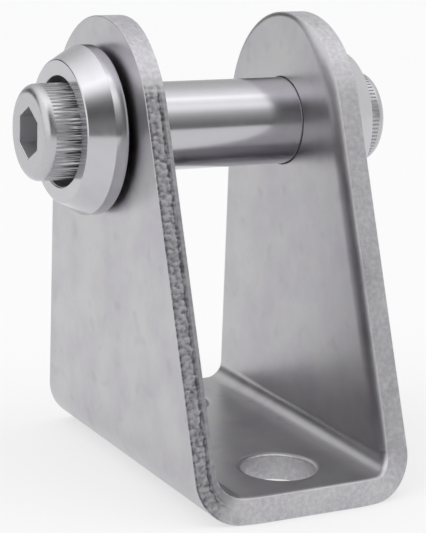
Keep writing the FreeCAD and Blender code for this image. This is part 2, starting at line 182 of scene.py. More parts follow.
@dataclass(frozen=True)
class TumbledSheet:
    """Stainless sheet, pressed and then tumbled in stones: a satin skin without direction.

    The eye gets a light grey metal with soft cloudy patches, a fine grain that blurs what it
    mirrors, and a few faint scratches. Its cut edges are rougher, with small pale flecks that
    stand for worn spots and partly for painted glints, and the torn zone of a punched edge is
    darker in its pits, as painted shade. The inner skin is a little greyer, as painted shade.
    The grain and the flecks are drawn coarse enough to be seen.
    """

    light: str = "#C6C5C6"
    dark: str = "#B8B6BC"
    stain: float = 0.9
    inner_painted_shade: float = 0.93
    torn_pit_shade: str = "#626067"
    torn_crest: str = "#BCBBBF"
    roughness_low: float = 0.28
    roughness_high: float = 0.34
    cut_roughness: float = 0.2
    cloud: float = 5.0 * MM
    spot: float = 2.0 * MM
    grain: float = 0.16 * MM
    grain_height: float = 0.003 * MM
    waviness: float = 3.5 * MM
    wave_height: float = 0.006 * MM
    mottle: float = 0.42 * MM
    mottle_height: float = 0.014 * MM
    wear_and_glint: str = "#F1F0F4"
    wear_and_glint_share: float = 0.34
    scratch: float = 0.11 * MM
    scratch_stretch: float = 0.03
    scratch_turn: tuple[float, float, float] = (math.radians(62.0), 0.4, 0.3)

    def build(self, name: str) -> bpy.types.Material:
        """Make the material.

        Args:
            name: Name of the material.

        Returns:
            The material.
        """
        material = bpy.data.materials.new(name)
        material.use_nodes = True
        tree = material.node_tree
        shader = tree.nodes["Principled BSDF"]
        shader.inputs["Metallic"].default_value = 1.0
        place = add_node(tree, "ShaderNodeTexCoord").outputs["Object"]

        clouds = add_node(tree, "ShaderNodeTexNoise", {
            "Vector": place, "Scale": grain_scale(self.cloud), "Detail": 5.0, "Roughness": 0.62})
        spots = add_node(tree, "ShaderNodeTexNoise", {
            "Vector": place, "Scale": grain_scale(self.spot), "Detail": 1.0})
        share = add_node(tree, "ShaderNodeMapRange", {
            "Value": clouds.outputs["Fac"], "From Min": 0.34, "From Max": 0.66})
        cloudy = add_node(tree, "ShaderNodeMix", {
            0: share.outputs[0], 6: linear_colour(self.dark), 7: linear_colour(self.light)},
            data_type="RGBA")
        stained = add_node(tree, "ShaderNodeMapRange", {
            "Value": spots.outputs["Fac"], "From Min": 0.62, "From Max": 0.78,
            "To Min": 1.0, "To Max": self.stain})
        # The inner skin is drawn a little greyer, as painted shade between the ears. That is a
        # guess, which fits the photograph better on the right ear and less well on the base.
        inner = add_node(tree, "ShaderNodeAttribute", attribute_name="inner")
        painted_inner_shade = add_node(tree, "ShaderNodeMapRange", {
            "Value": inner.outputs["Fac"], "To Min": 1.0, "To Max": self.inner_painted_shade})
        stains_and_painted_shade = add_node(tree, "ShaderNodeMath", {
            0: stained.outputs[0], 1: painted_inner_shade.outputs[0]}, operation="MULTIPLY")
        skin = add_node(tree, "ShaderNodeMix", {
            0: 1.0, 6: cloudy.outputs[2], 7: stains_and_painted_shade.outputs[0]}, data_type="RGBA",
            blend_type="MULTIPLY")

        # The torn zone takes its colour from how deep each point lies, darker in the pits as
        # painted shade, and the sheared strip beside it takes part of that colour.
        torn = add_node(tree, "ShaderNodeAttribute", attribute_name="torn")
        crest = add_node(tree, "ShaderNodeAttribute", attribute_name="crest")
        tear = add_node(tree, "ShaderNodeMix", {
            0: crest.outputs["Fac"], 6: linear_colour(self.torn_pit_shade),
            7: linear_colour(self.torn_crest)}, data_type="RGBA")
        mottles = add_node(tree, "ShaderNodeTexNoise", {
            "Vector": place, "Scale": grain_scale(self.mottle), "Detail": 3.0, "Roughness": 0.65})
        # Pale flecks on the cut edges stand for worn spots and partly for painted glints.
        flecks = add_node(tree, "ShaderNodeMapRange", {
            "Value": mottles.outputs["Fac"], "From Min": 0.4, "From Max": 0.7,
            "To Max": self.wear_and_glint_share})
        cut = add_node(tree, "ShaderNodeAttribute", attribute_name="cut")
        wear_and_glint_mask = add_node(tree, "ShaderNodeMath", {
            0: cut.outputs["Fac"], 1: flecks.outputs[0]}, operation="MULTIPLY")
        wear_and_glint = add_node(tree, "ShaderNodeMix", {
            0: wear_and_glint_mask.outputs[0], 6: skin.outputs[2], 7: linear_colour(self.wear_and_glint)},
            data_type="RGBA")
        colour = add_node(tree, "ShaderNodeMix", {
            0: torn.outputs["Fac"], 6: wear_and_glint.outputs[2], 7: tear.outputs[2]}, data_type="RGBA")
        tree.links.new(colour.outputs[2], shader.inputs["Base Color"])

        satin = add_node(tree, "ShaderNodeMapRange", {
            "Value": clouds.outputs["Fac"], "From Min": 0.3, "From Max": 0.7,
            "To Min": self.roughness_low, "To Max": self.roughness_high})
        rough = add_node(tree, "ShaderNodeMath", {
            0: cut.outputs["Fac"], 1: self.cut_roughness, 2: satin.outputs[0]},
            operation="MULTIPLY_ADD")
        tree.links.new(rough.outputs[0], shader.inputs["Roughness"])

        waves = add_node(tree, "ShaderNodeTexNoise", {
            "Vector": place, "Scale": grain_scale(self.waviness), "Detail": 1.0})
        wavy = add_node(tree, "ShaderNodeBump", {
            "Height": waves.outputs["Fac"], "Distance": self.wave_height, "Strength": 1.0})
        grains = add_node(tree, "ShaderNodeTexNoise", {
            "Vector": place, "Scale": grain_scale(self.grain), "Detail": 3.0})
        grainy = add_node(tree, "ShaderNodeBump", {
            "Height": grains.outputs["Fac"], "Distance": self.grain_height, "Strength": 1.0,
            "Normal": wavy.outputs[0]})
        turned = add_node(tree, "ShaderNodeMapping", {
            "Vector": place, "Rotation": self.scratch_turn,
            "Scale": (1.0, self.scratch_stretch, 1.0)})
        lines = add_node(tree, "ShaderNodeTexNoise", {
            "Vector": turned.outputs[0], "Scale": grain_scale(self.scratch), "Detail": 1.0})
        cuts = add_node(tree, "ShaderNodeMapRange", {
            "Value": lines.outputs["Fac"], "From Min": 0.68, "From Max": 0.74,
            "To Min": 1.0, "To Max": 0.0})
        scratched = add_node(tree, "ShaderNodeBump", {
            "Height": cuts.outputs[0], "Distance": 0.5 * self.grain_height, "Strength": 0.6,
            "Normal": grainy.outputs[0]})
        mottled = add_node(tree, "ShaderNodeBump", {
            "Height": mottles.outputs["Fac"], "Distance": self.mottle_height,
            "Strength": cut.outputs["Fac"], "Normal": scratched.outputs[0]})
        tree.links.new(mottled.outputs[0], shader.inputs["Normal"])
        return material


@dataclass(frozen=True)
class TurnedMetal:
    """Turned stainless steel: fine rings round the pin axis, bright, with a soft streaky mirror.

    The real rings are finer than the image shows, so they are drawn coarse enough to be seen.
    Where a piece's matt value is 1, as in a bored recess or on a knurl, it is rougher, and its
    colour is multiplied by a factor that paints shade into the hollow.
    """

    light: str = "#CAC9CC"
    dark: str = "#BCBBC0"
    roughness_low: float = 0.14
    roughness_high: float = 0.19
    matt_roughness: float = 0.28
    matt_painted_shade: float = 0.72
    cloud: float = 1.6 * MM
    ring: float = 0.09 * MM
    ring_stretch: float = 0.04
    ring_height: float = 0.001 * MM
    grain: float = 0.14 * MM
    grain_height: float = 0.0008 * MM

    def build(self, name: str, middle: Vector) -> bpy.types.Material:
        """Make the material.

        Args:
            name: Name of the material.
            middle: A point on the turned piece's axis, which lies along X.

        Returns:
            The material.
        """
        material = bpy.data.materials.new(name)
        material.use_nodes = True
        tree = material.node_tree
        shader = tree.nodes["Principled BSDF"]
        shader.inputs["Metallic"].default_value = 1.0
        place = add_node(tree, "ShaderNodeTexCoord").outputs["Object"]

        clouds = add_node(tree, "ShaderNodeTexNoise", {
            "Vector": place, "Scale": grain_scale(self.cloud), "Detail": 5.0, "Roughness": 0.6})
        colour = add_node(tree, "ShaderNodeMix", {
            0: clouds.outputs["Fac"], 6: linear_colour(self.dark), 7: linear_colour(self.light)},
            data_type="RGBA")
        matt = add_node(tree, "ShaderNodeAttribute", attribute_name="matt")
        # A matt value of 1 multiplies the colour by the matt factor, as painted shade in the
        # hollows.
        painted_hollow_shade = add_node(tree, "ShaderNodeMapRange", {
            "Value": matt.outputs["Fac"], "To Min": 1.0, "To Max": self.matt_painted_shade})
        colour_with_painted_shade = add_node(tree, "ShaderNodeMix", {
            0: 1.0, 6: colour.outputs[2], 7: painted_hollow_shade.outputs[0]}, data_type="RGBA",
            blend_type="MULTIPLY")
        tree.links.new(colour_with_painted_shade.outputs[2], shader.inputs["Base Color"])
        satin = add_node(tree, "ShaderNodeMapRange", {
            "Value": clouds.outputs["Fac"], "From Min": 0.3, "From Max": 0.7,
            "To Min": self.roughness_low, "To Max": self.roughness_high})
        rough = add_node(tree, "ShaderNodeMath", {
            0: matt.outputs["Fac"], 1: self.matt_roughness, 2: satin.outputs[0]},
            operation="MULTIPLY_ADD")
        tree.links.new(rough.outputs[0], shader.inputs["Roughness"])

        # Rings are noise that depends on the place along the axis and the distance from it.
        centred = add_node(tree, "ShaderNodeVectorMath", {0: place, 1: tuple(middle)},
                           operation="SUBTRACT")
        parts = add_node(tree, "ShaderNodeSeparateXYZ", {0: centred.outputs[0]})
        flat = add_node(tree, "ShaderNodeCombineXYZ", {
            1: parts.outputs["Y"], 2: parts.outputs["Z"]})
        radius = add_node(tree, "ShaderNodeVectorMath", {0: flat.outputs[0]}, operation="LENGTH")
        stretched = add_node(tree, "ShaderNodeVectorMath", {
            0: flat.outputs[0], "Scale": self.ring_stretch}, operation="SCALE")
        along = add_node(tree, "ShaderNodeMath", {
            0: parts.outputs["X"], 1: radius.outputs["Value"]}, operation="ADD")
        ahead = add_node(tree, "ShaderNodeCombineXYZ", {0: along.outputs[0]})
        ring_place = add_node(tree, "ShaderNodeVectorMath", {
            0: stretched.outputs[0], 1: ahead.outputs[0]}, operation="ADD")
        rings = add_node(tree, "ShaderNodeTexNoise", {
            "Vector": ring_place.outputs[0], "Scale": grain_scale(self.ring), "Detail": 2.0})
        ringed = add_node(tree, "ShaderNodeBump", {
            "Height": rings.outputs["Fac"], "Distance": self.ring_height, "Strength": 1.0})
        grains = add_node(tree, "ShaderNodeTexNoise", {
            "Vector": place, "Scale": grain_scale(self.grain), "Detail": 3.0})
        grainy = add_node(tree, "ShaderNodeBump", {
            "Height": grains.outputs["Fac"], "Distance": self.grain_height, "Strength": 1.0,
            "Normal": ringed.outputs[0]})
        tree.links.new(grainy.outputs[0], shader.inputs["Normal"])
        return material


# Turned pieces.


@dataclass(frozen=True)
class Corner:
    """Corner of a turned profile: place along the axis, distance from it, and rounding."""

    along: float
    out: float
    rounding: float = 0.0


def rounded_profile(corners: Sequence[Corner], closed: bool) -> np.ndarray:
    """Profile line with its corners rounded, and a guard point beside each rounding.

    The guard points keep the flats' shading flat up to the rounding.

    Args:
        corners: Corners in order.
        closed: True when the last corner joins the first.

    Returns:
        One row of along and out for each point.
    """
    places = [np.array((corner.along, corner.out)) for corner in corners]
    count = len(corners)
    points = []
    for number, (corner, place) in enumerate(zip(corners, places)):
        ends = not closed and number in (0, count - 1)
        if ends or corner.rounding == 0.0:
            points.append(place)
            continue
        before = places[number - 1] - place
        after = places[(number + 1) % count] - place
        before /= np.linalg.norm(before)
        after /= np.linalg.norm(after)
        half = 0.5 * math.acos(float(np.clip(before @ after, -1, 1)))
        reach = corner.rounding / math.tan(half)
        middle = place + (before + after) / np.linalg.norm(before + after) * (
            corner.rounding / math.sin(half))
        start = place + before * reach - middle
        end = place + after * reach - middle
        sweep = math.pi - 2 * half
        points.append(place + before * (reach + GUARD))
        for step in range(ARC_STEPS + 1):
            share = step / ARC_STEPS
            blend = (math.sin((1 - share) * sweep) * start + math.sin(share * sweep) * end)
            points.append(middle + blend / math.sin(sweep))
        points.append(place + after * (reach + GUARD))
    return np.array(points)


@dataclass
class PolarShell:
    """Closed shell round an axis along X, built ring by ring.

    A ring is a pair of arrays: the place along the axis and the distance from it, one value
    for each column round the axis. Rings may have different numbers of columns when one is a
    whole multiple of the other.
    """

    middle: Vector
    side: Side
    rings: list[tuple[np.ndarray, np.ndarray]] = field(default_factory=list)
    matt: list[float] = field(default_factory=list)

    def add_ring(self, along: np.ndarray | float, out: np.ndarray, matt: float = 0.0) -> None:
        """Add one ring.

        Args:
            along: Place along the axis, for each column or for all of them.
            out: Distance from the axis, for each column.
            matt: How matt the ring is, from 0 for turned metal to 1 for rough metal.
        """
        self.rings.append((np.broadcast_to(along, out.shape), out))
        self.matt.append(matt)

    def add_rings(self, profile: np.ndarray, columns: int, matt: float = 0.0) -> None:
        """Add plain round rings, one for each point of a profile."""
        for along, out in profile:
            self.add_ring(along, np.full(columns, out), matt)

    def place(self, along: np.ndarray, out: np.ndarray) -> np.ndarray:
        """Points of one ring in space.

        Args:
            along: Place outward along the axis, for each column.
            out: Distance from the axis, for each column.

        Returns:
            One row of X, Y and Z for each column.
        """
        turn = np.arange(len(along)) * FULL_TURN / len(along)
        way = self.side.value
        return np.column_stack((self.middle.x + way * along,
                                self.middle.y + way * out * np.cos(turn),
                                self.middle.z + out * np.sin(turn)))

    def build(self, name: str, material: bpy.types.Material, closed: bool) -> bpy.types.Object:
        """Make the mesh object.

        Args:
            name: Name of the object.
            material: Material of the shell.
            closed: True when the last ring joins the first. Otherwise each end is closed by
                a point on the axis.

        Returns:
            The object.
        """
        rings = [self.place(along, out) for along, out in self.rings]
        starts = np.cumsum([0] + [len(ring) for ring in rings]).tolist()
        points = [np.vstack(rings)]
        matt = [np.repeat(self.matt, [len(ring) for ring in rings])]
        faces: list[list[int]] = []
        for number in range(len(rings) - 1 + int(closed)):
            after = (number + 1) % len(rings)
            faces += self.band(starts[number], len(rings[number]), starts[after], len(rings[after]))
        if not closed:
            total = starts[-1]
            for pole, ring in enumerate((0, len(rings) - 1)):
                count, start = len(rings[ring]), starts[ring]
                points.append(rings[ring].mean(axis=0)[None, :])
                matt.append(np.array([self.matt[ring]]))
                for column in range(count):
                    edge = [start + column, start + (column + 1) % count]
                    faces.append([total + pole] + (edge[::-1] if pole == 0 else edge))
        obj = mesh_object(name, np.vstack(points), faces, material)
        add_point_values(obj, "matt", np.concatenate(matt))
        return obj

    @staticmethod
    def band(first: int, columns: int, second: int, others: int) -> list[list[int]]:
        """Faces between two rings.

        Args:
            first: Number of the first ring's first vertex.
            columns: Columns of the first ring.
            second: Number of the second ring's first vertex.
            others: Columns of the second ring.

        Returns:
            Vertex numbers of each face.
        """
        faces = []
        few = min(columns, others)
        near, far = columns // few, others // few
        for column in range(few):
            ahead = (column + 1) % few
            low = [first + column * near + step for step in range(near)] + [first + ahead * near]
            high = [second + column * far + step for step in range(far)] + [second + ahead * far]
            faces.append(low + high[::-1])
        return faces


def circle_place(node: str) -> tuple[Vector, float, float, float]:
    """Read a turned node's axis and size from the frame.

    Args:
        node: Name of the node, whose axis lies along X.

    Returns:
        Centre of its box, its radius, and its lowest and highest X.
    """
    low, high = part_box(node)
    return (low + high) / 2, (high.z - low.z) / 2, low.x, high.x


@dataclass
class RetainingWasher:
    """Turned washer with a straight rim, a bevel, and a recess for the screw head."""

    side: Side
    finish: bpy.types.Material
    rim_width: float = 1.4 * MM
    bevel_angle: float = 30.0
    recess_radius: float = 4.85 * MM
    recess_floor: float = 1.35 * MM
    hole_radius: float = 2.65 * MM
    edge_rounding: float = 0.16 * MM
    face_rounding: float = 0.2 * MM
    back_rounding: float = 0.45 * MM
    columns: int = 288

    @property
    def node(self) -> str:
        """Name of the frame's node."""
        return f"{self.side.name.lower()}_retaining_washer"

    def build(self) -> bpy.types.Object:
        """Make the washer in place of its node.

        Returns:
            The mesh object.
        """
        centre, rim, low, high = circle_place(self.node)
        thickness = high - low
        back = low if self.side is Side.RIGHT else high
        face_radius = rim - (thickness - self.rim_width) * math.tan(math.radians(self.bevel_angle))
        edge, face = self.edge_rounding, self.face_rounding
        profile = rounded_profile([
            Corner(0.0, self.hole_radius, edge), Corner(0.0, rim, self.back_rounding),
            Corner(self.rim_width, rim, edge), Corner(thickness, face_radius, face),
            Corner(thickness, self.recess_radius, face),
            Corner(self.recess_floor, self.recess_radius, edge),
            Corner(self.recess_floor, self.hole_radius, edge)], closed=True)
        shell = PolarShell(Vector((back, centre.y, centre.z)), self.side)
        # The hole and the recess are matt, as far as the inner third of the rounding at the
        # recess's mouth, and their colour is darkened there as painted shade. The back face fades
        # from matt at the hole to turned at the rim.
        for along, out in profile:
            bored = out < self.recess_radius + 0.2 * face and along < thickness - 0.3 * face
            shell.add_ring(along, np.full(self.columns, out), float(bored))
        piece = shell.build(f"turned_{self.node}", self.finish, closed=True)
        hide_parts(self.node)
        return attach(piece, "pin_set")


@dataclass
class CapScrew:
    """Socket head cap screw: threaded shank, knurled head, hexagon socket with one corner up.

    The head's columns have to be a whole multiple of the shank's, so that the rings join.
    """

    side: Side
    finish: bpy.types.Material
    head_height: float = 5.0 * MM
    edge_rounding: float = 0.85 * MM
    seat_rounding: float = 0.2 * MM
    across_flats: float = 4.0 * MM
    socket_depth: float = 2.5 * MM
    mouth_break: float = 0.1 * MM
    mouth_steps: int = 4
    drill_tip: float = 1.0 * MM
    knurl_teeth: int = 72
    knurl_depth: float = 0.038 * MM
    knurl_sharpness: float = 1.4
    knurl_collar: float = 1.0 * MM
    knurl_fade: float = 0.12 * MM
    knurl_rows: int = 8
    tooth_columns: int = 8
    thread_radius: float = 2.48 * MM
    thread_pitch: float = 0.8 * MM
    thread_depth: float = 0.45 * MM
    tip_chamfer: float = 0.5 * MM
    shank_columns: int = 144
    rings_per_pitch: int = 10

    @property
    def node(self) -> str:
        """Name of the frame's node."""
        return f"{self.side.name.lower()}_cap_screw"

    @property
    def columns(self) -> int:
        """Columns round the head."""
        return self.knurl_teeth * self.tooth_columns

    def hexagon(self, columns: int) -> np.ndarray:
        """Distance from the axis to the socket's wall.

        Args:
            columns: Columns round the axis.

        Returns:
            One distance for each column.
        """
        turn = np.arange(columns) * FULL_TURN / columns
        sixth = math.pi / 3
        from_flat = np.mod(turn - math.pi / 2, sixth) - sixth / 2
        return 0.5 * self.across_flats / np.cos(from_flat)

    def knurl(self) -> np.ndarray:
        """Depth of the knurl from 0 on a crest to 1 in a groove, for each column."""
        phase = np.arange(self.columns) % self.tooth_columns / self.tooth_columns
        return (0.5 + 0.5 * np.cos(FULL_TURN * phase)) ** self.knurl_sharpness

    def add_shank(self, shell: PolarShell, length: float) -> None:
        """Add the threaded shank from its tip to the head.

        Args:
            shell: Shell that gets the rings.
            length: Length of the shank under the head.
        """
        count = self.shank_columns
        turn = np.arange(count) * FULL_TURN / count
        steps = round(length / self.thread_pitch * self.rings_per_pitch)
        root = self.thread_radius - self.thread_depth
        shell.add_rings(np.array([(-length, 0.5 * root)]), count)
        for along in np.linspace(-length, 0.0, steps + 1):
            # Crest and root each have a flat of a sixth of the half pitch.
            phase = np.mod(along / self.thread_pitch + turn / FULL_TURN, 1.0)
            flank = np.clip(np.abs(2 * phase - 1) * 1.5 - 0.25, 0, 1)
            tip = max(0.0, self.tip_chamfer - (along + length))
            radius = self.thread_radius - self.thread_depth * flank
            shell.add_ring(along, np.minimum(radius, self.thread_radius - tip))

    def build(self) -> bpy.types.Object:
        """Make the screw in place of its node.

        Returns:
            The mesh object.
        """
        centre, head, low, high = circle_place(self.node)
        right = self.side is Side.RIGHT
        seat = high - self.head_height if right else low + self.head_height
        length = (high - low) - self.head_height
        shell = PolarShell(Vector((seat, centre.y, centre.z)), self.side)
        self.add_shank(shell, length)

        columns, top = self.columns, self.head_height
        knurl_end = top - self.knurl_collar
        face_end = self.across_flats / math.sqrt(3) + 4 * self.mouth_break
        outside = rounded_profile([
            Corner(0.0, self.thread_radius), Corner(0.0, head, self.seat_rounding),
            Corner(top, head, self.edge_rounding), Corner(top, face_end)], closed=False)
        groove = self.knurl()
        extra = np.array([(along, head) for along in (
            *np.linspace(self.seat_rounding + 2 * GUARD, knurl_end - GUARD, self.knurl_rows),
            *(knurl_end + self.knurl_fade * share for share in (0.0, 0.33, 0.67, 1.0)))])
        side_start = next(number for number, point in enumerate(outside)
                          if point[0] > self.seat_rounding)
        profile = np.vstack((outside[:side_start + 1], extra, outside[side_start + 1:]))
        for along, out in profile:
            fade = 1 - smooth_step(np.array(along), knurl_end, knurl_end + self.knurl_fade)
            on_side = float(out > head - 0.5 * self.knurl_depth) * float(fade)
            shell.add_ring(along, out - self.knurl_depth * groove * on_side, on_side)

        # The broached hexagon has a small rounding at its mouth.
        wall = self.hexagon(columns)
        shell.add_ring(top, wall + self.mouth_break + GUARD)
        for step in range(self.mouth_steps + 1):
            turn = 0.5 * math.pi * step / self.mouth_steps
            shell.add_ring(top - self.mouth_break * (1 - math.cos(turn)),
                           wall + self.mouth_break * (1 - math.sin(turn)))
        shell.add_ring(top - self.mouth_break - GUARD, wall, 1.0)
        bottom = top - self.socket_depth
        for along, out in ((bottom + GUARD, wall), (bottom, wall), (bottom, wall - GUARD)):
            shell.add_ring(along, out, 1.0)
        drill = 0.5 * self.across_flats - 2 * GUARD
        shell.add_rings(np.array([
            (bottom, drill), (bottom - TIP_SHARE * self.drill_tip, drill * (1 - TIP_SHARE)),
            (bottom - self.drill_tip, TIP_SHARE * drill)]), columns, matt=1.0)
        piece = shell.build(f"knurled_{self.node}", self.finish, closed=False)
        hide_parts(self.node)
        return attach(piece, "pin_set")


@dataclass
class ClevisPin:
    """Ground cross pin with chamfered ends and a tapped hole in each end."""

    finish: bpy.types.Material
    node: str = "clevis_pin"
    chamfer: float = 0.4 * MM
    edge_rounding: float = 0.08 * MM
    hole_radius: float = 2.5 * MM
    hole_mouth: float = 0.3 * MM
    hole_depth: float = 7.0 * MM
    drill_tip: float = 1.5 * MM
    columns: int = 360

    def build(self) -> bpy.types.Object:
        """Make the pin in place of its node.

        Returns:
            The mesh object.
        """
        centre, radius, low, high = circle_place(self.node)
        half = (high - low) / 2
        edge, mouth = self.edge_rounding, self.hole_mouth
        right = [
            Corner(half - self.hole_depth - self.drill_tip, TIP_SHARE * self.hole_radius),
            Corner(half - self.hole_depth, self.hole_radius),
            Corner(half - mouth, self.hole_radius, edge),
            Corner(half, self.hole_radius + mouth, edge),
            Corner(half, radius - self.chamfer, edge), Corner(half - self.chamfer, radius, edge)]
        left = [Corner(-corner.along, corner.out, corner.rounding) for corner in reversed(right)]
        shell = PolarShell(centre, Side.RIGHT)
        shell.add_rings(rounded_profile(right + left, closed=False)[::-1], self.columns)
        piece = shell.build("ground_clevis_pin", self.finish, closed=False)
        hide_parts(self.node)
        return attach(piece, "pin_set")


# The folded bracket.


@dataclass
class FlatLoop:
    """Edge of the sheet in its flat pattern.

    The points run with the sheet's metal on their left. Each has a normal that points out of
    the metal, and shares that say how torn and how rolled the edge is there.
    """

    points: np.ndarray
    outward: np.ndarray
    torn: np.ndarray
    rolled: np.ndarray

    def inset(self, depth: np.ndarray | float) -> np.ndarray:
        """Points of the loop moved into the metal by a depth."""
        return self.points - self.outward * np.reshape(depth, (-1, 1))


@dataclass(frozen=True)
class EdgeProfile:
    """Section of a cut edge of the sheet, from its inner skin to its outer one.

    The punch has drawn the inner skin down in a flat arc, which meets the cut at an angle.
    """

    roll_reach: float
    roll_angle: float
    corner_radius: float
    break_radius: float
    torn_start: float
    arc_rows: int = 7
    plain_rows: int = 2
    torn_rows: int = 17

    def rows(self, thickness: float, share: np.ndarray) -> list[tuple[np.ndarray, np.ndarray]]:
        """Depth below the inner skin and inset from the edge, for each row of points.

        Args:
            thickness: Thickness of the sheet.
            share: Size of the rolled arc at each point, from 0 to 1.

        Returns:
            The rows, with a guard row on each skin.
        """
        corner, snap, end = self.corner_radius, self.break_radius, math.radians(self.roll_angle)
        corner_inset = corner * (1 - math.sin(end))
        radius = (self.roll_reach - corner_inset) / math.sin(end)
        deep = radius * (1 - math.cos(end)) + corner * math.cos(end)
        none = np.zeros_like(share)
        rows = [(none, share * self.roll_reach + GUARD)]
        for step in range(self.arc_rows + 1):
            turn = end * step / self.arc_rows
            rows.append((share * radius * (1 - math.cos(turn)),
                         share * (corner_inset + radius * (math.sin(end) - math.sin(turn)))))
        for step in range(1, self.arc_rows + 1):
            turn = end + (0.5 * math.pi - end) * step / self.arc_rows
            rows.append((share * (deep - corner * math.cos(turn)),
                         share * corner * (1 - math.sin(turn))))
        flat_start, flat_end = share * deep + GUARD, thickness - snap
        for part in np.linspace(0, 1, self.plain_rows + 1):
            rows.append((flat_start + part * (self.torn_start - flat_start), none))
        for depth in np.linspace(self.torn_start, flat_end, self.torn_rows + 1)[1:]:
            rows.append((np.full(share.shape, depth), none))
        for step in range(1, self.arc_rows + 1):
            turn = 0.5 * math.pi * step / self.arc_rows
            rows.append((np.full(share.shape, flat_end + snap * math.sin(turn)),
                         np.full(share.shape, snap * (1 - math.cos(turn)))))
        rows.append((np.full(share.shape, thickness), np.full(share.shape, snap + GUARD)))
        return rows


@dataclass
class FoldedBracket:
    """Sheet folded to a U, with tapered round-topped ears, pin bores and fixing holes.

    The sheet is laid out flat, across the folds and along them, and then wrapped round the
    folds, so that its cut edges keep their section all the way round.
    """

    finish: bpy.types.Material
    node: str = "clevis_bracket"
    thickness: float = 2.4 * MM
    bend_radius: float = 1.5 * MM
    flank_setback: float = 1.6 * MM
    ear_top_radius: float = 10.0 * MM
    bore_clearance: float = 0.05 * MM
    fixing_pitch: float = 20.0 * MM
    fixing_radius: float = 3.3 * MM
    roll_reach: float = 1.7 * MM
    roll_angle: float = 30.0
    least_roll: float = 0.28
    roll_facing: tuple[float, float] = (0.1, 0.8)
    roll_rise: float = 3.0 * MM
    edge_corner: float = 0.12 * MM
    edge_break: float = 0.08 * MM
    corner_rounding: float = 2.5 * MM
    corner_share: float = 0.45
    corner_points: int = 12
    step: float = 0.11 * MM
    hole_step: float = 0.25 * MM
    fold_rows: int = 28
    line_margin: float = 0.3 * MM
    top_points: int = 90
    edge_fade: float = 0.15 * MM
    cut_margin: float = 0.04 * MM
    tear_top: float = 0.58
    tear_fade: float = 2.4 * MM
    tear_wander: float = 2.6 * MM
    tear_foot: tuple[float, float] = (0.5 * MM, 3.0 * MM)
    tear_rise: float = 0.09 * MM
    tear_close: float = 0.1 * MM
    tear_margin: float = 0.03 * MM
    inner_groove: tuple[float, float] = (0.1 * MM, 0.09 * MM)
    outer_groove: tuple[float, float] = (0.12 * MM, 0.07 * MM)
    torn_start: float = 1.0 * MM
    torn_depth: float = 0.09 * MM
    border_wander: float = 0.16 * MM
    border_grain: float = 0.5 * MM
    border_margin: float = 0.22 * MM
    sheared_share: float = 0.5
    sheared_dark: float = 0.4
    sheared_fade: float = 0.1 * MM
    torn_grain: float = 0.3 * MM
    crumb_stretch: float = 0.75
    seed: float = 4.2

    def __post_init__(self) -> None:
        """Work out the sheet's places from the frame."""
        low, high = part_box(self.node)
        pin_centre, self.pin_radius, _, _ = circle_place("clevis_pin")
        self.front, self.back = low.y, high.y
        self.pin_y, self.pin_z = pin_centre.y, pin_centre.z
        self.fold_start = high.x - self.thickness - self.bend_radius
        self.middle_radius = self.bend_radius + self.thickness / 2
        self.fold_length = 0.5 * math.pi * self.middle_radius
        self.ear_start = self.fold_start + self.fold_length
        self.ear_foot = self.thickness + self.bend_radius

    def across(self, height: float) -> float:
        """Place across the flat pattern of a height on an ear."""
        return self.ear_start + height - self.ear_foot

    def wrap(self, across: np.ndarray, along: np.ndarray, depth: np.ndarray) -> np.ndarray:
        """Fold points of the flat pattern into place.

        Args:
            across: Place across the folds, from the base's centre line.
            along: Place along the folds, which is Y.
            depth: Depth below the inner skin.

        Returns:
            One row of X, Y and Z for each point.
        """
        side = np.sign(across)
        reach = np.abs(across)
        turn = np.clip((reach - self.fold_start) / self.middle_radius, 0, math.pi / 2)
        radius = self.bend_radius + depth
        on_base = np.minimum(reach, self.fold_start)
        up_ear = np.maximum(reach - self.ear_start, 0)
        x = side * (on_base + radius * np.sin(turn))
        z = self.ear_foot - radius * np.cos(turn) + up_ear
        return np.column_stack((x, along, z))

    def outline_corners(self) -> list[tuple[float, float]]:
        """Half of the flat outline, on the right, from the front edge's middle to the back's.

        Returns:
            Points across and along, with the round top as closely spaced points.
        """
        foot = (self.ear_start, self.front + self.flank_setback)
        centre = (self.across(self.pin_z), self.pin_y)
        reach = (foot[0] - centre[0], foot[1] - centre[1])
        distance = math.hypot(*reach)
        lean = math.atan2(reach[1], reach[0])
        touch = lean + math.acos(self.ear_top_radius / distance)
        arc = np.linspace(touch, math.pi / 2, self.top_points)
        top = [(centre[0] + self.ear_top_radius * math.cos(turn),
                centre[1] + self.ear_top_radius * math.sin(turn)) for turn in arc]
        corner = self.rounded_corner((0.0, self.front), (self.fold_start, self.front), foot)
        return [(0.0, self.front), *corner, foot, *top, (0.0, self.back)]

    def rounded_corner(self, before: tuple, corner: tuple, after: tuple) -> list[tuple]:
        """Points of a quadratic curve that rounds one corner of the outline.

        Args:
            before: Point before the corner.
            corner: The corner.
            after: Point after the corner.

        Returns:
            Points from the one side of the corner to the other.
        """
        start, middle, end = (np.array(point) for point in (before, corner, after))
        reach = min(self.corner_share * np.linalg.norm(end - middle), self.corner_rounding)
        first = middle + (start - middle) / np.linalg.norm(start - middle) * reach
        last = middle + (end - middle) / np.linalg.norm(end - middle) * reach
        shares = np.linspace(0, 1, self.corner_points)[:, None]
        curve = (1 - shares) ** 2 * first + 2 * shares * (1 - shares) * middle + shares ** 2 * last
        return [tuple(point) for point in curve.tolist()]

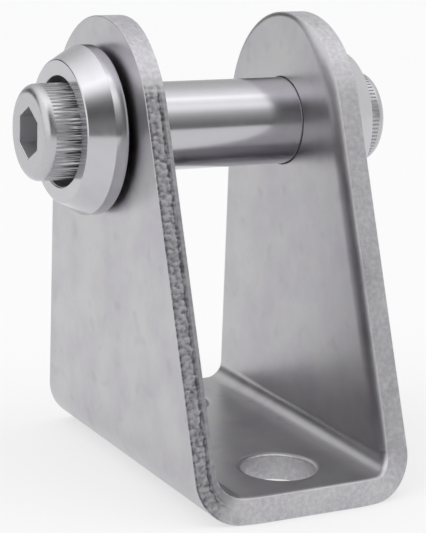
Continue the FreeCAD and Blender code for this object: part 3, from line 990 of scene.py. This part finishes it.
    def outline(self) -> FlatLoop:
        """Outer edge of the sheet, evenly spaced, with its torn stretch marked.

        Returns:
            The loop.
        """
        right = self.outline_corners()
        left = [(-across, along) for across, along in reversed(right[1:-1])]
        corners = np.array(right + left)
        closed = np.vstack((corners, corners[:1]))
        lengths = np.linalg.norm(np.diff(closed, axis=0), axis=1)
        total = np.concatenate(([0.0], np.cumsum(lengths)))
        count = round(total[-1] / self.step)
        places = np.arange(count) * total[-1] / count
        points = np.column_stack([np.interp(places, total, closed[:, axis]) for axis in (0, 1)])
        ahead = np.roll(points, -2, axis=0) - np.roll(points, 2, axis=0)
        ahead /= np.linalg.norm(ahead, axis=1)[:, None]
        outward = np.column_stack((ahead[:, 1], -ahead[:, 0]))

        # The left ear's front edge is torn from above the pin down into the fold. The tear's
        # top is given as a share of the ear's top radius above the pin.
        height = -points[:, 0]
        facing_front = outward[:, 1] < -0.5
        edge_top = self.across(self.pin_z + self.tear_top * self.ear_top_radius)
        flutter = self.tear_wander * noise_field(
            np.column_stack((points, np.zeros(count))), self.border_grain, self.seed)
        torn = smooth_step(edge_top - height + flutter, 0.0, self.tear_fade)
        torn *= smooth_step(height, self.fold_start + self.tear_foot[0],
                            self.fold_start + self.tear_foot[1])

        # The edge is rolled most where it faces the front on an ear.
        rolled = smooth_step(-outward[:, 1], *self.roll_facing)
        rolled *= smooth_step(np.abs(points[:, 0]), self.fold_start,
                              self.ear_start + self.roll_rise)
        rolled = self.least_roll + (1 - self.least_roll) * rolled
        return FlatLoop(points, outward, np.where(facing_front, torn, 0.0), rolled)

    def hole(self, across: float, along: float, radius: float) -> FlatLoop:
        """Round hole in the sheet.

        Args:
            across: Place of its centre across the folds.
            along: Place of its centre along the folds.
            radius: Radius of the hole.

        Returns:
            The loop.
        """
        count = round(FULL_TURN * radius / self.hole_step)
        turn = -np.arange(count) * FULL_TURN / count
        ray = np.column_stack((np.cos(turn), np.sin(turn)))
        return FlatLoop(np.array((across, along)) + ray * radius, -ray, np.zeros(count),
                        np.ones(count))

    def skin_faces(self, loops: Sequence[np.ndarray], first: Sequence[int]
                   ) -> tuple[np.ndarray, list[list[int]]]:
        """Triangles that fill one skin between its loops, with extra lines along the folds.

        Args:
            loops: Points of the outline and of each hole, in the flat pattern.
            first: Number of each loop's first vertex in the mesh.

        Returns:
            Extra points in the flat pattern, and triangles whose negative numbers -1, -2, ...
            stand for those points.
        """
        inside = 2 * GUARD
        ends = []
        rows = np.linspace(self.fold_start, self.ear_start, self.fold_rows + 1)
        for across in (rows[0] - inside, *rows, rows[-1] + inside):
            share = np.clip((across - self.fold_start) / self.fold_length, 0, 1)
            front = (self.front + share * self.flank_setback + self.roll_reach
                     + self.line_margin)
            back = self.back - self.roll_reach - self.line_margin
            for side in (-1, 1):
                ends += [(side * across, front), (side * across, back)]
        extra = np.array(ends)
        numbers = [start + column for loop, start in zip(loops, first)
                   for column in range(len(loop))]
        numbers += [-1 - number for number in range(len(extra))]
        flat = np.vstack((*loops, extra)) / MM
        edges, start = [], 0
        for loop in loops:
            edges += [(start + c, start + (c + 1) % len(loop)) for c in range(len(loop))]
            start += len(loop)
        edges += [(start + 2 * pair, start + 2 * pair + 1) for pair in range(len(extra) // 2)]
        found = delaunay_2d_cdt([Vector(point) for point in flat.tolist()], edges, [], 0, NEARNESS)
        triangles, origins = found[2], found[3]
        if len(origins) != len(flat):
            raise ValueError("the skin's lines cross each other")
        source = [origin[0] for origin in origins]
        triangles = [[source[corner] for corner in triangle] for triangle in triangles]
        kept = self.metal_side(triangles, edges[:start], start)
        return extra, [[numbers[corner] for corner in triangle] for triangle in kept]

    @staticmethod
    def metal_side(triangles: Sequence[Sequence[int]], cuts: Iterable[tuple[int, int]],
                   first_inner: int) -> list[Sequence[int]]:
        """Triangles that can be reached from the inner points without crossing a cut edge.

        Args:
            triangles: Point numbers of all triangles.
            cuts: Pairs of neighbouring points on the outline and the holes.
            first_inner: Points from this number on lie in the metal.

        Returns:
            The triangles in the metal.
        """
        borders = {frozenset(pair) for pair in cuts}
        beside: dict[frozenset, list[int]] = {}
        for number, triangle in enumerate(triangles):
            for pair in zip(triangle, (*triangle[1:], triangle[0])):
                beside.setdefault(frozenset(pair), []).append(number)
        waiting = [number for number, triangle in enumerate(triangles)
                   if max(triangle) >= first_inner]
        reached = set(waiting)
        while waiting:
            triangle = triangles[waiting.pop()]
            for pair in zip(triangle, (*triangle[1:], triangle[0])):
                edge = frozenset(pair)
                if edge in borders:
                    continue
                fresh = [number for number in beside[edge] if number not in reached]
                reached.update(fresh)
                waiting += fresh
        return [triangles[number] for number in sorted(reached)]

    def torn_insets(self, loop: FlatLoop, depth: np.ndarray) -> tuple[np.ndarray, np.ndarray]:
        """How far a torn edge lies back at one depth, and how high it stands there.

        Args:
            loop: The edge.
            depth: Depth below the inner skin.

        Returns:
            Inset for each point, and its height from 0 in a pit to 1 on a crest.
        """
        folded = self.wrap(loop.points[:, 0], loop.points[:, 1], depth)
        wander = self.border_wander * noise_field(folded, self.border_grain, self.seed)
        border = self.torn_start + wander
        outer = self.thickness - self.tear_margin
        zone = smooth_step(depth - border, 0.0, self.tear_rise)
        zone *= 1 - smooth_step(depth, outer - self.tear_close, outer)
        crumbs = folded * (self.crumb_stretch, 1, 1)
        coarse = noise_field(crumbs, self.torn_grain, self.seed + 7)
        fine = noise_field(crumbs, 0.45 * self.torn_grain, self.seed + 19)

        # A shallow groove runs along each side of the tear, given by its place and its width.
        inner_place, inner_width = self.inner_groove
        outer_place, outer_width = self.outer_groove
        grooves = (np.exp(-((depth - border - inner_place) / inner_width) ** 2)
                   + np.exp(-((depth - outer + outer_place) / outer_width) ** 2))
        pit = np.clip(0.3 + 0.75 * coarse + 0.45 * fine + 0.6 * grooves, 0, 1.3)

        # The sheared strip beside the tear is drawn darker than the other cut edges, which is a
        # guess to match the photograph.
        sheared = 1 - smooth_step(depth - border, -self.sheared_fade, 0.0)
        height = (1 - np.clip(pit, 0, 1)) * (1 - self.sheared_dark * sheared)
        return loop.torn * zone * self.torn_depth * pit, height

    def build(self) -> bpy.types.Object:
        """Make the bracket in place of its node.

        Returns:
            The mesh object.
        """
        bore = self.pin_radius + self.bore_clearance
        pin_across = self.across(self.pin_z)
        snap, torn_from = self.edge_break, self.torn_start - self.border_margin
        outer_edge = EdgeProfile(self.roll_reach, self.roll_angle, self.edge_corner, snap,
                                 torn_from)
        bore_edge = EdgeProfile(
            roll_reach=0.15 * MM, roll_angle=30.0, corner_radius=0.08 * MM, break_radius=snap,
            torn_start=torn_from, arc_rows=4, plain_rows=1, torn_rows=2)
        hole_edge = EdgeProfile(
            roll_reach=0.5 * MM, roll_angle=35.0, corner_radius=0.12 * MM, break_radius=snap,
            torn_start=torn_from, arc_rows=6, plain_rows=1, torn_rows=2)
        cuts = [(self.outline(), outer_edge)]
        cuts += [(self.hole(side * pin_across, self.pin_y, bore), bore_edge) for side in (-1, 1)]
        cuts += [(self.hole(0.0, side * self.fixing_pitch / 2, self.fixing_radius), hole_edge)
                 for side in (-1, 1)]

        # Each point has four shares for the finish: how torn it is, how high it stands in the
        # tear, and how far it belongs to the cut and to the inner skin, whose share paints shade.
        points, torn, crest, cut, inner, faces = [], [], [], [], [], []
        skins: dict[str, list] = {"inner": [], "outer": []}
        total = 0
        for loop, profile in cuts:
            count = len(loop.points)
            rows = profile.rows(self.thickness, loop.rolled)
            skins["inner"].append((loop.inset(rows[0][1]), total))
            skins["outer"].append((loop.inset(rows[-1][1]), total + (len(rows) - 1) * count))
            for number, (depth, inset) in enumerate(rows):
                back, high = self.torn_insets(loop, depth) if loop.torn.any() else (0.0, 1.0)
                flat = loop.inset(inset + back)
                points.append(self.wrap(flat[:, 0], flat[:, 1], depth))
                in_cut = (depth < self.thickness - self.cut_margin).astype(float)
                upright = smooth_step(-inset, -self.edge_fade, 0.0)
                in_tear = depth > self.torn_start - self.edge_fade
                torn.append(loop.torn * in_cut * np.where(
                    in_tear, 1.0, self.sheared_share * upright))
                cut.append(in_cut * upright)
                crest.append(np.broadcast_to(high, count))
                # The inner skin's share darkens the colour there, as painted shade.
                inner.append(1 - smooth_step(depth, 0.0, self.edge_fade))
                if number:
                    before, here = total + (number - 1) * count, total + number * count
                    faces += [[before + c, here + c, here + (c + 1) % count,
                               before + (c + 1) % count] for c in range(count)]
            total += len(rows) * count

        for name, depth in (("inner", 0.0), ("outer", self.thickness)):
            extra, triangles = self.skin_faces(*zip(*skins[name]))
            points.append(self.wrap(extra[:, 0], extra[:, 1], np.full(len(extra), depth)))
            torn.append(np.zeros(len(extra)))
            cut.append(np.zeros(len(extra)))
            inner.append(np.full(len(extra), float(name == "inner")))
            crest.append(np.ones(len(extra)))
            turned = 1 if name == "inner" else -1
            faces += [[total - 1 - corner if corner < 0 else corner
                       for corner in triangle][::turned] for triangle in triangles]
            total += len(extra)
        piece = mesh_object("folded_clevis_bracket", np.vstack(points), faces, self.finish)
        add_point_values(piece, "torn", np.concatenate(torn))
        add_point_values(piece, "crest", np.concatenate(crest))
        add_point_values(piece, "cut", np.concatenate(cut))
        add_point_values(piece, "inner", np.concatenate(inner))
        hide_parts(self.node)
        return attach(piece, "bracket")


# The studio.


@dataclass(frozen=True)
class SoftLamp:
    """Soft lamp of a panel's shape that shines at the mount."""

    name: str
    place: tuple[float, float, float]
    width: float
    depth: float
    power: float
    colour: str = "#FFFFFF"

    def build(self, target: Vector) -> bpy.types.Object:
        """Make the lamp.

        Args:
            target: Point that the lamp faces.

        Returns:
            The lamp object.
        """
        data = bpy.data.lights.new(self.name, "AREA")
        data.shape = "RECTANGLE"
        data.size = self.width
        data.size_y = self.depth
        data.energy = self.power
        data.color = linear_colour(self.colour)[:3]
        lamp = bpy.data.objects.new(self.name, data)
        lamp.location = self.place
        lamp.rotation_euler = (target - Vector(self.place)).to_track_quat("-Z", "Y").to_euler()
        bpy.context.scene.collection.objects.link(lamp)
        return lamp


@dataclass
class Studio:
    """Pale floor, soft light and a camera at the photograph's viewing angle.

    The levels of the light are chosen so that the metal mirrors light and dark bands like
    the photograph's.
    """

    floor_colour: str = "#F2F2F3"
    floor_radius: float = 3.0
    floor_gap: float = 0.02 * MM
    floor_glow: float = 0.6
    floor_sides: int = 96
    vault_peak: float = 1.68
    left_levels: tuple[tuple[float, float], ...] = (
        (-0.98, 0.17), (-0.9, 0.11), (-0.8, 0.06), (-0.66, 0.13), (-0.52, 0.34), (-0.42, 0.61),
        (-0.3, 0.87), (-0.15, 1.0), (0.05, 0.96), (0.34, 0.86), (0.62, 0.74), (0.86, 0.5),
        (1.0, 0.34))
    right_levels: tuple[tuple[float, float], ...] = (
        (-1.0, 0.12), (-0.945, 0.2), (-0.855, 0.31), (-0.715, 0.54), (-0.615, 0.71),
        (-0.535, 0.79), (-0.415, 0.7), (-0.295, 0.77), (-0.215, 0.91), (-0.095, 0.91),
        (-0.015, 0.8), (0.185, 0.69), (0.485, 0.5), (0.885, 0.36))
    levels_blend: tuple[float, float] = (-0.4, 0.35)
    doorway: float = 0.06
    doorway_behind: tuple[float, float] = (0.86, 0.95)
    doorway_left: tuple[float, float] = (-0.12, -0.36)
    left_wall: float = 1.25
    left_wall_reach: tuple[float, float] = (-0.64, -0.78)
    right_wall: float = 0.9
    right_wall_reach: tuple[float, float] = (0.55, 0.9)
    camera_place: tuple[float, float, float] = (-79.85 * MM, -143.99 * MM, 57.92 * MM)
    camera_turn: tuple[float, float, float] = (76.353, -2.058, -27.972)
    camera_lens: float = 127.43
    lamp_target: tuple[float, float, float] = (0.0, 0.0, 0.02)
    lamps: tuple[SoftLamp, ...] = (
        SoftLamp("front_softbox", (0.24, -0.20, 0.46), 0.3, 0.3, 0.042),
        SoftLamp("top_strip", (0.0, -0.07, 0.52), 0.62, 0.07, 0.02),
    )

    def build_floor(self) -> bpy.types.Object:
        """Make the floor, a wide disc just under the base.

        Returns:
            The floor object.
        """
        material = bpy.data.materials.new("matt_white_paper")
        material.use_nodes = True
        tree = material.node_tree
        shader = tree.nodes["Principled BSDF"]
        shader.inputs["Base Color"].default_value = linear_colour(self.floor_colour)
        shader.inputs["Roughness"].default_value = 0.9
        shader.inputs["Specular IOR Level"].default_value = 0.2

        # Rays that show the floor, straight or mirrored, see it paler, with its shadow.
        path = add_node(tree, "ShaderNodeLightPath").outputs
        mirrored = add_node(tree, "ShaderNodeMath", {
            0: path["Is Glossy Ray"], 1: path["Is Transmission Ray"]}, operation="MAXIMUM")
        shown = add_node(tree, "ShaderNodeMath", {
            0: path["Is Camera Ray"], 1: mirrored.outputs[0]}, operation="MAXIMUM")
        share = add_node(tree, "ShaderNodeMath", {
            0: shown.outputs[0], 1: self.floor_glow}, operation="MULTIPLY")
        white = add_node(tree, "ShaderNodeEmission", {"Strength": 1.0})
        mixed = add_node(tree, "ShaderNodeMixShader", {
            0: share.outputs[0], 1: shader.outputs[0], 2: white.outputs[0]})
        tree.links.new(mixed.outputs[0], tree.nodes["Material Output"].inputs["Surface"])

        sides = self.floor_sides
        turn = np.arange(sides) * FULL_TURN / sides
        ring = np.column_stack((self.floor_radius * np.cos(turn), self.floor_radius * np.sin(turn),
                                np.full(sides, -self.floor_gap)))
        floor = mesh_object("floor", ring, [list(range(sides))], material)
        return floor

    def vault(self, tree: bpy.types.NodeTree, behind: bpy.types.NodeSocket,
              levels: Sequence[tuple[float, float]]) -> bpy.types.NodeSocket:
        """Light of the vault by its place between the front and the back.

        Args:
            tree: Node tree of the world.
            behind: Place between the front, at -1, and the back, at 1.
            levels: Place and share of the peak, in order from the front to the back.

        Returns:
            Strength of the light.
        """
        share = add_node(tree, "ShaderNodeMapRange", {
            "Value": behind, "From Min": -1.0, "From Max": 1.0})
        ramp = add_node(tree, "ShaderNodeValToRGB", {0: share.outputs[0]})
        ramp.color_ramp.interpolation = "LINEAR"
        stops = ramp.color_ramp.elements
        stops.remove(stops[0])
        for number, (place, level) in enumerate(levels):
            stop = stops[0] if number == 0 else stops.new(0.5 + 0.5 * place)
            stop.position = 0.5 + 0.5 * place
            stop.color = (level, level, level, 1.0)
        return add_node(tree, "ShaderNodeMath", {
            0: ramp.outputs["Color"], 1: self.vault_peak}, operation="MULTIPLY").outputs[0]

    def build_world(self) -> None:
        """Make the room's light: a vault along X, brightest near its top, and two end walls."""
        world = bpy.data.worlds.new("studio_room")
        world.use_nodes = True
        bpy.context.scene.world = world
        tree = world.node_tree
        backdrop = tree.nodes["Background"]
        backdrop.inputs["Color"].default_value = linear_colour("#FFFFFF")
        way = add_node(tree, "ShaderNodeTexCoord").outputs["Generated"]
        parts = add_node(tree, "ShaderNodeSeparateXYZ", {0: way}).outputs

        # The vault runs along X, so its light depends on the angle round X.
        upright = add_node(tree, "ShaderNodeCombineXYZ", {1: parts["Y"], 2: parts["Z"]})
        turned = add_node(tree, "ShaderNodeVectorMath", {0: upright.outputs[0]},
                          operation="NORMALIZE")
        behind = add_node(tree, "ShaderNodeSeparateXYZ", {0: turned.outputs[0]}).outputs["Y"]
        rightward = add_node(tree, "ShaderNodeMapRange", {
            "Value": parts["X"], "From Min": self.levels_blend[0],
            "From Max": self.levels_blend[1]})
        bright = add_node(tree, "ShaderNodeMix", {
            0: rightward.outputs[0], 2: self.vault(tree, behind, self.left_levels),
            3: self.vault(tree, behind, self.right_levels)}, data_type="FLOAT")

        # A dark doorway stands low behind on the left, and a pale wall at each side.
        low = add_node(tree, "ShaderNodeMapRange", {
            "Value": behind, "From Min": self.doorway_behind[0],
            "From Max": self.doorway_behind[1]}, interpolation_type="SMOOTHSTEP")
        left = add_node(tree, "ShaderNodeMapRange", {
            "Value": parts["X"], "From Min": self.doorway_left[0],
            "From Max": self.doorway_left[1]}, interpolation_type="SMOOTHSTEP")
        doorway = add_node(tree, "ShaderNodeMath", {0: low.outputs[0], 1: left.outputs[0]},
                           operation="MULTIPLY")
        light = add_node(tree, "ShaderNodeMix", {
            0: doorway.outputs[0], 2: bright.outputs[0], 3: self.doorway}, data_type="FLOAT")
        for (start, end), level in ((self.left_wall_reach, self.left_wall),
                                    (self.right_wall_reach, self.right_wall)):
            wall = add_node(tree, "ShaderNodeMapRange", {
                "Value": parts["X"], "From Min": start, "From Max": end},
                interpolation_type="SMOOTHSTEP")
            light = add_node(tree, "ShaderNodeMix", {
                0: wall.outputs[0], 2: light.outputs[0], 3: level}, data_type="FLOAT")
        tree.links.new(light.outputs[0], backdrop.inputs["Strength"])

    def build_camera(self) -> bpy.types.Object:
        """Make the camera.

        Returns:
            The camera object.
        """
        data = bpy.data.cameras.new("camera")
        data.lens = self.camera_lens
        data.clip_start = 0.01
        camera = bpy.data.objects.new("camera", data)
        camera.location = self.camera_place
        camera.rotation_euler = Euler([math.radians(angle) for angle in self.camera_turn], "XYZ")
        bpy.context.scene.collection.objects.link(camera)
        bpy.context.scene.camera = camera
        return camera

    def build(self) -> None:
        """Make everything round the mount."""
        target = Vector(self.lamp_target)
        self.build_floor()
        self.build_world()
        self.build_camera()
        for lamp in self.lamps:
            lamp.build(target)
        bpy.context.scene.view_settings.view_transform = "Standard"


def report(piece: bpy.types.Object) -> None:
    """Log a piece's name and its number of faces."""
    LOG.info("%s: %d faces", piece.name, len(piece.data.polygons))


def main() -> None:
    """Build the mount's pieces in order, then the studio."""
    logging.basicConfig(level=logging.INFO, format="%(name)s: %(message)s")
    axis = circle_place("clevis_pin")[0]
    sheet = TumbledSheet().build("tumbled_stainless_sheet")
    # The ground pin has shallower rings and grain than the turned washers, and a slightly
    # softer mirror. The screws are taken as cold headed, with no rings and the softest mirror.
    ground = TurnedMetal(
        light="#C5C4C8", dark="#BCBBBF", roughness_low=0.16, roughness_high=0.2,
        ring_height=0.0006 * MM, grain_height=0.0006 * MM).build("ground_stainless", axis)
    turned = TurnedMetal().build("turned_stainless", axis)
    pressed = TurnedMetal(
        light="#C6C5C8", dark="#B6B5B9", roughness_low=0.24, roughness_high=0.3,
        matt_painted_shade=1.0, ring_height=0.0).build("pressed_stainless", axis)

    report(FoldedBracket(sheet).build())
    report(ClevisPin(ground).build())
    for side in Side:
        report(RetainingWasher(side, turned).build())
        report(CapScrew(side, pressed).build())
    Studio().build()


if __name__ == "__main__":
    main()
